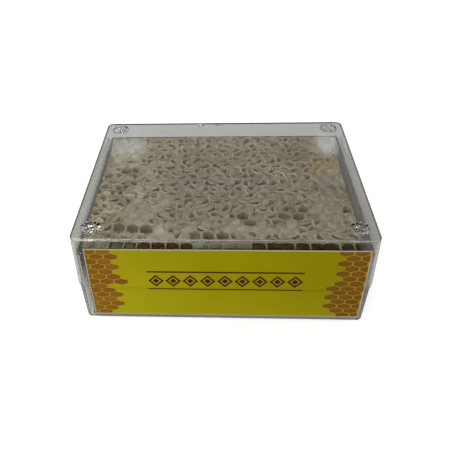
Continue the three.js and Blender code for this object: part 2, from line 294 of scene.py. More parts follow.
# ---- Camera, lamps and floor ----
camera_aim = Vector((-16.72, 0, 13.09))
camera_distance = 244.08
camera_pitch = 37.823  # degrees below level
camera_yaw = -4.912
camera_roll = 2.767
camera_focal = 548.55  # pixels
camera_center_x = 185  # pixels, of the picture's optical middle
picture_size = 453
sensor_width = 36
floor_reach = 2500
floor_shade = (-91, 12, 24)  # the dark strip's place along Y, and its half width inside and out
floor_glow = 0.6
sky_strength = 0.33
# Soft square lamps: name, place, size and watts.
lamps = [
    ("key", (-200, 170, 500), 300, 1.2),
    ("front", (-120, -420, 330), 300, 1.1),
    ("spark", (-30, -170, 480), 40, 0.12),
]


# ---- Mesh helpers ----
def make_piece(name, shell, material, smooth_angle=30):
    """A mesh object from a shell's points and faces. Edges sharper than smooth_angle stay sharp."""
    points, faces = shell
    mesh = bpy.data.meshes.new(name)
    mesh.from_pydata([(x * MM, y * MM, z * MM) for x, y, z in points], [], faces)
    mesh.validate()
    mesh.materials.append(material)
    piece = bpy.data.objects.new(name, mesh)
    bpy.context.scene.collection.objects.link(piece)
    shade_smooth(piece, smooth_angle)
    return piece


def shade_smooth(piece, smooth_angle):
    mesh = piece.data
    mesh.polygons.foreach_set("use_smooth", [True] * len(mesh.polygons))
    mesh.set_sharp_from_angle(angle=math.radians(smooth_angle))
    mesh.update()


def combine(piece, other, operation):
    """Joins or cuts piece with other, and removes other."""
    modifier = piece.modifiers.new(operation, "BOOLEAN")
    modifier.operation = operation
    modifier.object = other
    modifier.solver = "MANIFOLD"
    bpy.context.view_layer.update()
    graph = bpy.context.evaluated_depsgraph_get()
    result = bpy.data.meshes.new_from_object(piece.evaluated_get(graph))
    piece.modifiers.clear()
    piece.data = result
    bpy.data.objects.remove(other)
    return piece


def join_shells(shells):
    """Several shells as one."""
    points = []
    faces = []
    for shell_points, shell_faces in shells:
        start = len(points)
        points += shell_points
        faces += [tuple(start + i for i in face) for face in shell_faces]
    return points, faces


def neighbours(ring):
    """Each item of a ring with the next one."""
    return zip(ring, [*ring[1:], ring[0]])


def bridge(outer, inner):
    """The faces between two rings of points."""
    return [(a, b, d, c) for (a, b), (c, d) in zip(neighbours(outer), neighbours(inner))]


def at_height(places, z):
    """Places on the plan as points at one height."""
    return [(x, y, z) for x, y in places]


def skin_rings(rings, closed=False):
    """A shell skinned over rings. Its ends are capped, or joined if closed."""
    count = len(rings[0])
    points = [point for ring in rings for point in ring]
    levels = [range(start, start + count) for start in range(0, len(points), count)]
    faces = []
    for here, above in zip(levels, levels[1:] + levels[:1] if closed else levels[1:]):
        faces += bridge(here, above)
    if not closed:
        faces += [levels[0][::-1], levels[-1]]
    return points, faces


def offset(point, degrees, reach):
    """The place at a distance from a point."""
    angle = math.radians(degrees)
    return point[0] + reach * math.cos(angle), point[1] + reach * math.sin(angle)


def arc(center, radius, start, end, steps):
    """Points on an arc, from one angle in degrees to another."""
    return [offset(center, start + (end - start) * step / steps, radius) for step in range(steps + 1)]


# ---- Node helpers ----
class Graph:
    """Builds the nodes of a material or a world. All but add and finish return outputs of nodes."""

    def __init__(self, owner, output="OutputMaterial"):
        owner.use_nodes = True
        self.owner = owner
        self.tree = owner.node_tree
        self.tree.nodes.clear()
        self.output = self.add(output)

    def add(self, kind, inputs=(), **settings):
        node = self.tree.nodes.new("ShaderNode" + kind)
        for setting, value in settings.items():
            setattr(node, setting, value)
        for key, value in dict(inputs).items():
            if isinstance(value, bpy.types.NodeSocket):
                self.tree.links.new(value, node.inputs[key])
            else:
                node.inputs[key].default_value = value
        return node

    def finish(self, shader):
        self.tree.links.new(shader, self.output.inputs["Surface"])
        return self.owner

    def vector(self, operation, first, second):
        return self.add("VectorMath", {0: first, 1: second}, operation=operation).outputs[0]

    def place(self, stretch=(1, 1, 1)):
        """The piece's own coordinates in millimetres, times stretch."""
        own = self.add("TexCoord").outputs["Object"]
        return self.vector("MULTIPLY", own, [factor / MM for factor in stretch])

    def axes(self):
        """The piece's own x, y and z in millimetres."""
        return self.add("SeparateXYZ", {0: self.place()}).outputs

    def noise(self, size, detail=2.0, roughness=0.5, distortion=0.0, stretch=(1, 1, 1)):
        """Noise from 0 to 1 whose lumps are about size millimetres across."""
        inputs = {"Vector": self.place([factor / size for factor in stretch]), "Scale": 1.0}
        inputs |= {"Detail": detail, "Roughness": roughness, "Distortion": distortion}
        return self.add("TexNoise", inputs).outputs["Fac"]

    def attribute(self, name):
        return self.add("Attribute", attribute_name=name).outputs["Fac"]

    def math(self, operation, *values):
        return self.add("Math", enumerate(values), operation=operation).outputs[0]

    def times(self, first, *others):
        for other in others:
            first = self.math("MULTIPLY", first, other)
        return first

    def apart(self, first, second):
        return self.math("ABSOLUTE", self.math("SUBTRACT", first, second))

    def spread(self, value, low, high, to_low=0.0, to_high=1.0, smooth=False):
        """value, taken from low..high to to_low..to_high and kept inside."""
        kind = "SMOOTHSTEP" if smooth else "LINEAR"
        inputs = enumerate((value, low, high, to_low, to_high))
        return self.add("MapRange", inputs, interpolation_type=kind).outputs[0]

    def spot(self, x, y, half_x, half_y, soft=0.5):
        """1 inside an ellipse seen from above, falling to 0 outside it."""
        away = self.vector("SUBTRACT", self.place(), (x, y, 0))
        scaled = self.vector("MULTIPLY", away, (1 / half_x, 1 / half_y, 0))
        far = self.add("VectorMath", {0: scaled}, operation="LENGTH").outputs["Value"]
        return self.spread(far, 1 - soft, 1 + soft, 1.0, 0.0, smooth=True)

    def blend(self, factor, first, second):
        """A colour between two colours."""
        inputs = {0: factor, 6: rgba(first), 7: rgba(second)}
        return self.add("Mix", inputs, data_type="RGBA").outputs[2]

    def layer(self, color, value, low, high, most, tint):
        """color, with up to most of tint over it where value goes from low to high."""
        return self.blend(self.spread(value, low, high, 0.0, most), color, tint)

    def bump(self, height, distance, strength):
        inputs = {"Height": height, "Distance": distance * MM, "Strength": strength}
        return self.add("Bump", inputs).outputs[0]

    def principled(self, color, roughness, normal, others):
        inputs = {"Base Color": rgba(color), "Roughness": roughness, "Normal": normal}
        return self.add("BsdfPrincipled", inputs | others).outputs[0]

    def diffuse(self, color):
        return self.add("BsdfDiffuse", {"Color": rgba(color)}).outputs[0]

    def mix(self, factor, first, second):
        """A shader between two shaders."""
        return self.add("MixShader", enumerate((factor, first, second))).outputs[0]


def rgba(color):
    return (*color, 1.0) if isinstance(color, tuple) else color


# ---- Materials ----
def haze_and_edge_highlight(graph, scuffs):
    """How much pale haze and painted highlight cover the plastic, and their colour: a pale line along the
    lid's front edge that is painted highlight, scratched sides and blooms.
    """
    x, y, z = graph.axes()
    # Painted highlight: a pale, patchy line along the lid's front top edge.
    front = graph.spread(y, edge_highlight_y + 0.05, edge_highlight_y - 0.05)
    high = graph.spread(z, edge_highlight_z + 0.05, edge_highlight_z + 0.15)
    patchy = graph.spread(graph.noise(7.0, detail=3.0), 0.35, 0.65, 0.3, 0.8)
    haze_and_highlight = graph.times(front, high, patchy, graph.spread(x, *edge_highlight_right, 0.42, 0.9))

    side = graph.math("GREATER_THAN", graph.math("ABSOLUTE", x), lid_high.x - side_reach)
    behind = graph.spread(y, lid_low.y + side_reach, lid_low.y + side_reach + 2.0)
    below = graph.times(behind, graph.spread(z, rim_height, rim_height - 0.3))
    scratched = graph.spread(scuffs, 0.3, 0.7, 0.5 * side_haze, 1.5 * side_haze)
    scratched = graph.times(side, graph.spread(below, 0.0, 1.0, 1.0, low_haze), scratched)
    haze_and_highlight = graph.math("MAXIMUM", haze_and_highlight, scratched)

    plate = graph.spread(z, lid_top - 1.2, lid_top - 1.0)
    cloudy = graph.times(graph.spread(graph.noise(8.0, detail=3.0), 0.35, 0.65, 0.6, 1.2), plate)
    for *ellipse, dense in blooms:
        haze_and_highlight = graph.math("MAXIMUM", haze_and_highlight, graph.times(graph.spot(*ellipse, 0.7), cloudy, dense))
    cool = graph.times(plate, graph.spread(y, 0.0, 5.0))
    return haze_and_highlight, graph.blend(cool, (0.76, 0.71, 0.64), (0.70, 0.73, 0.75))


def clear_plastic(name, painted_shade_from=None):
    """Clear, thin moulding that lamps and soft light go through. Above the height given, if any, it is
    tinted dark, a painted shade for the dark line that the tray's rim shows from above.
    """
    graph = Graph(bpy.data.materials.new(name))
    color = clear_tint
    # Painted shade on the tray's rim.
    if painted_shade_from:
        color = graph.blend(graph.spread(graph.axes()[2], painted_shade_from - 0.1, painted_shade_from + 0.1), color, rim_painted_shade)
    scuffs = graph.noise(1.4, detail=4.0, roughness=0.7, stretch=(1, 0.25, 1))
    worn = graph.spread(scuffs, 0.62, 0.8, 0.02, 0.16)
    waves = graph.bump(graph.noise(16.0, detail=1.0), 0.25, 0.35)
    glass = graph.principled(color, worn, waves, {"IOR": 1.5, "Transmission Weight": 1.0})
    # Pale haze over the plastic, with the painted highlight on the lid's front edge.
    haze_and_highlight, haze_and_highlight_color = haze_and_edge_highlight(graph, scuffs)
    glass = graph.mix(haze_and_highlight, glass, graph.diffuse(haze_and_highlight_color))
    through = graph.add("BsdfTransparent", {"Color": (0.95, 0.955, 0.955, 1)}).outputs[0]
    path = graph.add("LightPath").outputs
    soft = graph.mix(path["Is Diffuse Ray"], glass, through)
    return graph.finish(graph.mix(path["Is Shadow Ray"], soft, through))


def wax():
    """Beeswax: grey cream; rims paler, as thin wax and as painted highlight; honey stain in the pits, with
    painted shade in the grooves and round the flakes.
    """
    graph = Graph(bpy.data.materials.new("comb_wax"))
    broad = graph.noise(19.0)
    fine = graph.noise(2.2, detail=4.0, roughness=0.6)
    color = graph.layer((0.285, 0.25, 0.145), broad, 0.35, 0.65, 1.0, (0.295, 0.256, 0.18))
    color = graph.layer(color, fine, 0.4, 0.7, 0.65, (0.185, 0.153, 0.085))
    color = graph.layer(color, graph.noise(0.9), 0.4, 0.65, 0.3, (0.17, 0.14, 0.08))
    uneven = graph.spread(broad, 0.2, 0.6, 0.6, 1.0)
    for *ellipse, strength, tint in wax_stains_and_shade:
        color = graph.blend(graph.times(graph.spot(*ellipse), strength, uneven), color, tint)
    streaks = graph.spread(graph.noise(1.1, stretch=(0.12, 1, 1)), 0.45, 0.62, 0.0, 0.7)
    streaks = graph.times(streaks, graph.spot(*streaked_patch))
    color = graph.blend(streaks, color, (0.20, 0.135, 0.055))
    smudges = graph.noise(4.6, detail=4.0, distortion=1.0)
    color = graph.layer(color, smudges, 0.5, 0.66, 0.5, (0.165, 0.138, 0.08))
    color = graph.layer(color, graph.attribute("tone"), 1.0, -1.0, 0.5, (0.16, 0.135, 0.09))
    speckle = graph.spread(graph.noise(0.9, detail=1.0), 0.52, 0.6, 0.0, 0.75)
    for ellipse in speckled_patches:
        color = graph.blend(graph.times(speckle, graph.spot(*ellipse)), color, (0.12, 0.095, 0.085))
    # Honey stain in the cells, and painted shade in the grooves and round the flakes.
    stain_and_shade = graph.attribute("stain_and_shade")
    color = graph.blend(stain_and_shade, color, (0.14, 0.092, 0.015))
    color = graph.layer(color, stain_and_shade, 0.6, 1.0, 0.9, (0.07, 0.045, 0.015))
    # Pale rims: thin wax, and painted highlight where they catch the light.
    color = graph.blend(graph.attribute("rim"), color, (0.56, 0.52, 0.38))
    height = graph.math("ADD", graph.times(fine, 0.8), graph.times(graph.noise(0.5), 0.2))
    others = {
        "IOR": 1.44,
        "Subsurface Weight": 0.12,
        "Subsurface Radius": (1.0, 0.8, 0.5),
        "Subsurface Scale": 1.2 * MM,
    }
    roughness = graph.spread(fine, 0.3, 0.7, 0.38, 0.6)
    return graph.finish(graph.principled(color, roughness, graph.bump(height, 0.35, 0.8), others))


def honey():
    """Dark, wet honey, more amber where it lies thin."""
    graph = Graph(bpy.data.materials.new("honey"))
    cloud = graph.noise(3.5, detail=3.0)
    color = graph.layer((0.02, 0.006, 0.001), cloud, 0.3, 0.7, 1.0, (0.06, 0.024, 0.004))
    beside = graph.apart(graph.axes()[0], comb_center_x)
    side = comb_length / 2
    color = graph.layer(color, beside, side - 2.0, side - 0.3, 1.0, (0.12, 0.075, 0.035))
    color = graph.blend(graph.spot(*olive_honey), color, (0.10, 0.08, 0.03))
    roughness = graph.spread(cloud, 0.3, 0.7, 0.12, 0.3)
    others = {"IOR": 1.49, "Specular IOR Level": 0.12}
    return graph.finish(graph.principled(color, roughness, graph.bump(graph.noise(1.8), 0.2, 0.5), others))


def emblem(graph, x, z):
    """1 on a plain ornament: a row of open diamonds between two thin rules."""
    across = graph.math("DIVIDE", graph.math("SUBTRACT", x, (label_low.x + label_high.x) / 2), emblem_pitch)
    up = graph.apart(z, (label_low.z + label_high.z) / 2 + emblem_rise)
    off_x = graph.apart(across, graph.math("ROUND", across))
    away = graph.math("ADD", off_x, graph.math("DIVIDE", up, emblem_pitch))
    outline = graph.math("COMPARE", away, diamond_size, diamond_line)
    core = graph.math("LESS_THAN", away, diamond_core)
    rule = graph.math("COMPARE", up, rule_rise, rule_line)
    motif = graph.math("MAXIMUM", graph.math("MAXIMUM", outline, core), rule)
    return graph.times(motif, graph.math("LESS_THAN", graph.math("ABSOLUTE", across), emblem_reach))


def nearest_print(graph, x, z, shift):
    """One of the two nested grids of a honeycomb: how far off its nearest middle is, and its place."""
    across = graph.math("ADD", graph.math("DIVIDE", x, print_cell[0]), shift)
    below_top = graph.math("ADD", z, print_drop - label_high.z)
    upward = graph.math("ADD", graph.math("DIVIDE", below_top, 2 * print_cell[1]), shift)
    column = graph.math("ROUND", across)
    row = graph.math("ROUND", upward)
    off_x = graph.apart(across, column)
    off_z = graph.times(graph.apart(upward, row), math.sqrt(3))
    far = graph.math("ADD", graph.times(off_x, off_x), graph.times(off_z, off_z))
    return far, (off_x, off_z, graph.math("SUBTRACT", column, shift), graph.math("SUBTRACT", row, shift))


def label_print():
    """A yellow field inside a pale border, with plain brown hexagons at its two ends. The yellow carries
    painted light: lighter toward the left and the bottom, darker toward the right and the top.
    """
    graph = Graph(bpy.data.materials.new("label_print"))
    x, _, z = graph.axes()
    even_far, even = nearest_print(graph, x, z, 0.0)
    odd_far, odd = nearest_print(graph, x, z, 0.5)
    which = graph.math("GREATER_THAN", even_far, odd_far)
    picks = [graph.add("Mix", {0: which, 2: a, 3: b}, data_type="FLOAT") for a, b in zip(even, odd)]
    off_x, off_z, column, row = (pick.outputs[0] for pick in picks)
    slanted = graph.math("ADD", graph.times(off_x, 0.5), graph.times(off_z, 0.866))
    edge = graph.math("MAXIMUM", off_x, slanted)

    seat = graph.add("CombineXYZ", {0: column, 1: row}).outputs[0]
    chance = graph.add("TexWhiteNoise", {"Vector": seat}, noise_dimensions="2D").outputs["Value"]
    cell_x = graph.times(column, print_cell[0])
    from_ends = (graph.math("SUBTRACT", cell_x, label_low.x), graph.math("SUBTRACT", label_high.x, cell_x))
    at_ends = []
    for from_end, end in zip(from_ends, label_ends):
        at_ends.append(graph.math("LESS_THAN", from_end, graph.spread(chance, 0, 1, end - end_ragged, end)))
    at_end = graph.math("MAXIMUM", *at_ends)
    printed = graph.times(graph.spread(edge, *print_edge), at_end)
    framed = graph.times(graph.spread(edge, *print_frame), at_end, 0.8)
    outside = []
    for own, low, high in ((x, label_low.x, label_high.x), (z, label_low.z, label_high.z)):
        far = graph.apart(own, (low + high) / 2)
        outside.append(graph.math("GREATER_THAN", far, (high - low) / 2 - label_border))

    yellow = (0.38, 0.33, 0.0)
    # Painted light and shade on the yellow: lighter toward the left and the bottom, darker toward the right
    # and the top. The first row is uneven tone at random.
    for value, low, high, most, tint in [
        (graph.noise(9.0, detail=3.0), 0.3, 0.7, 1.0, (0.42, 0.365, 0.001)),
        (x, 0.0, -35.0, 0.55, (0.56, 0.50, 0.01)),
        (x, 5.0, 40.0, 0.8, (0.325, 0.285, 0.0)),
        (z, 20.0, 37.0, 0.3, (0.27, 0.245, 0.0)),
        (z, 18.0, 4.0, 0.3, (0.54, 0.49, 0.01)),
    ]:
        yellow = graph.layer(yellow, value, low, high, most, tint)
    brown = graph.blend(chance, (0.40, 0.165, 0.018), (0.28, 0.12, 0.014))
    brown = graph.layer(brown, edge, 0.2, 0.45, 0.35, (0.20, 0.08, 0.008))
    brown = graph.blend(graph.spread(x, 0.0, 40.0, 0.1, 0.6), brown, (0.175, 0.09, 0.008))
    color = graph.blend(framed, yellow, (0.50, 0.31, 0.035))
    color = graph.blend(printed, color, brown)
    color = graph.blend(emblem(graph, x, z), color, (0.075, 0.012, 0.010))
    color = graph.blend(graph.math("MAXIMUM", *outside), color, (0.55, 0.51, 0.33))
    fibre = graph.noise(0.35)
    roughness = graph.spread(fibre, 0.3, 0.7, 0.5, 0.65)
    others = {"Specular IOR Level": 0.06}
    return graph.finish(graph.principled(color, roughness, graph.bump(fibre, 0.03, 0.6), others))


# ---- Clear tray and lid ----
def rounded_ring(inset, z):
    """A ring round the box, set in from the lid's sides. Its corners share their middles."""
    radius = max(box_corner - inset, least_corner)
    x, y = lid_high.x - inset - radius, lid_high.y - inset - radius
    ring = []
    for corner, center in enumerate([(x, y), (-x, y), (-x, -y), (x, -y)]):
        start = 90 * corner
        turn = arc(center, radius, start, start + 90, corner_steps)
        ring += [offset(turn[0], start - 90, support), *turn, offset(turn[-1], start + 180, support)]
    return at_height(ring, z)


def box_shell(profile):
    """A closed shell round the box from a profile of (inset, height) pairs."""
    return skin_rings([rounded_ring(inset, z) for inset, z in profile])


def make_lid(material):
    edge_round = 0.2
    fillet = 0.3
    underside = lid_top - lid_plate
    inner = lid_wall + lid_draft
    edge = skirt_edge + edge_round
    shoulder = (lid_draft + lid_edge_radius, lid_top - lid_edge_radius)
    profile = [(inner + fillet + support, underside)]
    profile += arc((inner + fillet, underside - fillet), fillet, 90, 180, 4)
    profile += [(inner, underside - fillet - support), (lid_wall, edge + support)]
    profile += arc((lid_wall - edge_round, edge), edge_round, 0, -90, 3)
    profile += arc((edge_round, edge), edge_round, 270, 180, 3)
    profile += [(0, edge + support), (lid_draft, shoulder[1] - support)]
    profile += arc(shoulder, lid_edge_radius, 180, 90, 6)
    profile += [(shoulder[0] + support, lid_top)]
    lid = make_piece("clear_lid", box_shell(profile), material)
    details = []
    for side_x in (-1, 1):
        for side_y in (-1, 1):
            center = (side_x * (lid_high.x - ring_inset), side_y * (lid_high.y - ring_inset))
            details += [stacking_ring(center), *knurled_pad(center)]
    details += [scar(*place) for place in scars]
    combine(lid, make_piece("stacking_rings", join_shells(details), material), "UNION")
    shade_smooth(lid, 30)
    return lid


def stacking_ring(center):
    """A low, toothed round wall, let into the lid's top."""
    inner = ring_radius - ring_wall
    bevel_foot = ring_height - ring_bevel
    profile = [(inner, -ring_root), (ring_radius, -ring_root), (ring_radius, bevel_foot - 0.1)]
    profile += arc((ring_radius - ring_bevel, bevel_foot), ring_bevel, 0, 90, 4)
    profile += arc((inner + ring_bevel, bevel_foot), ring_bevel, 90, 180, 4)
    rings = []
    for side in range(ring_sides):
        angle = -2 * math.pi * side / ring_sides
        tooth = 0.5 + 0.5 * math.cos(ring_teeth * angle)
        low = 0.45 + 0.55 * tooth * (0.7 + 0.3 * math.sin(3 * angle))
        ring = []
        for radius, height in profile:
            if height > 0:
                radius -= tooth_depth * (1 - tooth)
                height *= low
            ring.append((*offset(center, math.degrees(angle), radius), lid_top + height))
        rings.append(ring)
    return skin_rings(rings, closed=True)


def knurled_pad(center):
    """Small pyramids inside a ring."""
    steps = math.ceil(pad_reach / pad_pitch)
    grid = [i * pad_pitch for i in range(-steps, steps + 1)]
    seats = [(center[0] + x, center[1] + y) for x in grid for y in grid if math.hypot(x, y) <= pad_reach]
    pyramids = []
    for seat in seats:
        rings = []
        for half, height in pad_profile:
            square = arc(seat, half * pad_pitch, pad_turn, pad_turn + 270, 3)
            rings.append(at_height(square, lid_top + height))
        pyramids.append(skin_rings(rings))
    return pyramids


def scar(center_x, center_y, half_x, half_y):
    """A low, uneven scar that the moulding left."""
    outline = []
    for side in range(scar_sides):
        angle = 2 * math.pi * side / scar_sides
        reach = 1 + 0.3 * math.sin(3 * angle + 1) + 0.12 * math.sin(7 * angle)
        outline.append((half_x * reach * math.cos(angle), half_y * reach * math.sin(angle)))
    rings = []
    for share, height in scar_profile:
        places = [(center_x + share * x, center_y + share * y) for x, y in outline]
        rings.append(at_height(places, lid_top + height))
    return skin_rings(rings)


def make_tray(material):
    rim_inset = lid_draft + lid_wall + tray_gap
    inner = rim_inset + tray_wall
    shoulder_round = 0.15
    rim_round = 0.25
    rim_foot = rim_height - rim_round
    foot = (shoulder_inset + tray_draft + tray_edge_radius, tray_edge_radius)
    shoulder = (shoulder_inset + shoulder_round, shoulder_height - shoulder_round)
    fillet = (inner + inner_draft + tray_fillet, tray_floor + tray_fillet)
    profile = [(foot[0] + support, 0)]
    profile += arc(foot, tray_edge_radius, 270, 180, 7)
    profile += [(shoulder_inset, shoulder[1] - support)]
    profile += arc(shoulder, shoulder_round, 180, 90, 3)
    profile += [(rim_inset, shoulder_height), (rim_inset, rim_foot - support)]
    profile += arc((rim_inset + rim_round, rim_foot), rim_round, 180, 90, 3)
    profile += arc((inner - rim_round, rim_foot), rim_round, 90, 0, 3)
    profile += [(inner + inner_draft, fillet[1] + support)]
    profile += arc(fillet, tray_fillet, 180, 270, 5)
    profile += [(fillet[0] + support, tray_floor)]
    return make_piece("clear_tray", box_shell(profile), material)


# ---- Comb: its cells ----
def seeded_random(seed):
    """The part's own source of numbers from 0 to 1, so that the same cells come out sealed."""
    word = 0xFFFFFFFF
    state = seed

    def draw():
        nonlocal state
        state = (state + 0x6D2B79F5) & word
        mixed = (state ^ (state >> 15)) * (1 | state) & word
        mixed = (mixed + ((mixed ^ (mixed >> 7)) * (61 | mixed) & word)) & word ^ mixed
        return ((mixed ^ (mixed >> 14)) & word) / 4294967296

    return draw


def clamp(value):
    return min(max(value, 0.0), 1.0)


def smooth_step(low, high, value):
    t = clamp((value - low) / (high - low))
    return t * t * (3 - 2 * t)


def wave(x, y, size, layer):
    """Smooth noise from about -1 to 1 whose lumps are about size millimetres across."""
    return noise.noise(Vector((x / size, y / size, layer)))


def half_up(value):
    return math.floor(value + 0.5)


def bent_y(x, y):
    return y + row_bend * min(x - row_bend_start, 0) ** 2


def top_height(x, y):
    return comb_top + swell / 2 * (math.sin(x / 13 + 1) + math.cos(y / 11 - x / 29))


def in_patch(patches, x, y):
    return any(((x - px) / rx) ** 2 + ((y - py) / ry) ** 2 < 1 for px, py, rx, ry in patches)


def cell_kind(x, y, draw):
    """A cell's kind in the CAD part."""
    if in_patch(open_patches, x, y):
        return "open"
    if in_patch(sealed_patches, x, y):
        return "torn" if draw < patch_torn_share else "sealed"
    if draw < mixed_sealed_share:
        return "sealed"
    return "torn" if draw < mixed_sealed_share + mixed_torn_share else "open"


def shown_kind(kind, x, y):
    """A cell's kind in the scene, and how wide its cap gapes if it is torn."""
    gape = 1.0 + 0.5 * wave(0.45 * x, 0.45 * y, 1, 32.0) + 0.6 * wave(x, y, 9.0, 35.0)
    if in_patch(clear_patches, x, y):
        return "open", gape
    if in_patch(calm_patches, x, y) or y > comb_high.y - calm_back:
        return "sealed", gape
    if kind == "open":
        return "torn", widest_gape
    patched = in_patch(sealed_patches, x, y)
    if kind == "sealed" and (not patched or wave(x, y, 2.3, 34.0) > patch_crack_level):
        return "torn", gape * (patch_gape if patched else cracked_gape)
    return kind, gape


def lay_out_cells():
    """The cells of the comb's top and their corners, drawn in the part's own order."""
    draw = seeded_random(comb_seed)
    corners = {}
    cells = []
    rows = math.ceil(comb_depth / 2 / row_pitch) + 1
    columns = math.ceil(comb_length / 2 / cell_pitch) + 1
    for row in range(-rows, rows + 1):
        for column in range(-columns, columns + 1):
            x = column * cell_pitch + row % 2 * cell_pitch / 2
            y = row * row_pitch
            keys = []
            for corner_x, corner_y in arc((x, y), cell_corner, 30, 330, 5):
                key = (half_up(2 * corner_x / cell_pitch), half_up(2 * corner_y / cell_corner))
                if key not in corners:
                    place = (corner_x, bent_y(corner_x, corner_y), top_height(corner_x, corner_y))
                    corners[key] = Vector([value + (draw() - 0.5) * rim_jitter for value in place])
                keys.append(key)
            rim = top_height(x, y)
            y = bent_y(x, y)
            kind, gape = shown_kind(cell_kind(x, y, draw()), x, y)
            cells.append(SimpleNamespace(
                x=x,
                y=y,
                rim=rim,
                keys=keys,
                kind=kind,
                gape=gape,
                relief=1 + (draw() - 0.5) * relief_spread,
                # The side that its torn cap opens to, in radians.
                turn=2 * math.pi * wave(0.37 * x, 0.41 * y, 1, 5.0) * 2.2 - math.pi / 2,
                tilt=0.1 + 0.5 * wave(0.4 * x, 0.4 * y, 1, 31.0),
                tone=1.8 * wave(0.7 * x, 0.7 * y, 1, 33.0),
            ))
    return corners, cells


def warp(x, y):
    """Where a point of the regular grid lies in the comb."""
    calm = 0.4 + 0.6 * smooth_step(*warp_grows, y)
    shift_x = 1.3 * wave(x, y, 6.5, 11.0) + 0.6 * wave(x, y, 2.4, 12.0)
    shift_y = 1.3 * wave(x, y, 6.5, 13.0) + 0.6 * wave(x, y, 2.4, 14.0)
    front = front_shift * smooth_step(front_shift_start, front_corner, y)
    front -= front_stretch * max(0.0, front_corner - y)
    for middle_x, middle_y, half_x in tall_patches:
        beside = 1 - smooth_step(half_x, half_x + tall_fade, abs(x - middle_x))
        front += tall_stretch * beside * (y - middle_y) * math.exp(-((y - middle_y) / tall_reach) ** 2)
    return x + calm * shift_x, y + calm * shift_y + front


# ---- Comb: its top ----
def border_spots(cell, corners):
    """The places round a cell's border, and the names that its neighbours know them by."""
    names = []
    spots = []
    for first, second in neighbours(cell.keys):
        for step in range(side_steps):
            side = (first, second, step) if first < second else (second, first, side_steps - step)
            names.append(side if step else (first,))
            spots.append(corners[first].lerp(corners[second], step / side_steps))
    return names, spots


def wall_lift(cell, spot):
    """How far a cell's damage leaves its wall standing up at a spot, from 0 to 1."""
    if cell.kind == "sealed":
        return 0.0
    if cell.kind == "open":
        return 0.35
    toward = math.atan2(spot.y - cell.y, spot.x - cell.x) - cell.turn
    return smooth_step(0.1, 0.8, math.cos(toward)) * (0.6 + 0.4 * wave(spot.x, spot.y, 1.5, 21.0))


def cap_height(cell, x, y):
    """The cap's height at a place, before it meets the wall."""
    across, along = (x - cell.x) / apothem, (y - cell.y) / apothem
    dome = 0.5 * cell.relief * (1 - min(math.hypot(across, along), 1.0) ** 2)
    tilt = cell.tilt * (across * math.cos(cell.turn) + along * math.sin(cell.turn))
    wrinkle = 0.34 * wave(x, y, 1.7, 22.0) + 0.34 * wave(x, y, 4.5, 23.0)
    return cell.rim + dome + tilt + wrinkle


def hole_edge(cell, spot):
    """The point of a cell's opening that lies toward a spot on its border, and the opening's middle."""
    reach = hole_middle * apothem if cell.kind == "torn" else 0.0
    middle = Vector(offset((cell.x, cell.y), math.degrees(cell.turn), reach))
    way = spot.xy - middle
    length = way.length
    if cell.kind == "open":
        return middle + way * (1 - least_wall / max(length, 0.5)), middle
    angle = math.atan2(way.y, way.x) - cell.turn
    radial, across = hole_radial * cell.gape, hole_across * cell.gape
    shape = math.hypot(math.cos(angle) / radial, math.sin(angle) / across)
    ragged = 1 + 0.25 * wave(spot.x, spot.y, 1.3, 24.0)
    radius = min(apothem / shape * ragged, length - least_wall)
    return middle + way * (radius / length), middle


def bend_round(cell, point):
    """Bends a torn cap's opening round the cell's middle, so that it becomes a crescent."""
    if cell.kind != "torn":
        return point
    cos, sin = math.cos(cell.turn), math.sin(cell.turn)
    aside = (point.y - cell.y) * cos - (point.x - cell.x) * sin
    pull = aside * aside / (2.1 * apothem)
    return Vector((point.x - pull * cos, point.y - pull * sin))


def sealed_rings(cell, lifts):
    """Rings of a shut cap from its border in, each point as x, y, height, pale rim mark and painted shade
    mark, and its middle.
    """
    rings = []
    for share in sealed_shares:
        meet = smooth_step(0.78, 0.97, share)
        ring = []
        for spot, lift in zip(cell.spots, lifts):
            x = cell.x + (spot.x - cell.x) * share
            y = cell.y + (spot.y - cell.y) * share
            edge = cell.rim - 0.12 + 0.3 * lift
            z = cap_height(cell, x, y) * (1 - meet) + edge * meet
            # At the border: a pale rim, thin wax and painted highlight, and painted shade in the groove.
            ring.append((x, y, z, 0.3 * meet * lift, 0.2 * meet))
        rings.append(ring)
    return rings, (cell.x, cell.y, cap_height(cell, cell.x, cell.y), 0.0, 0.0)


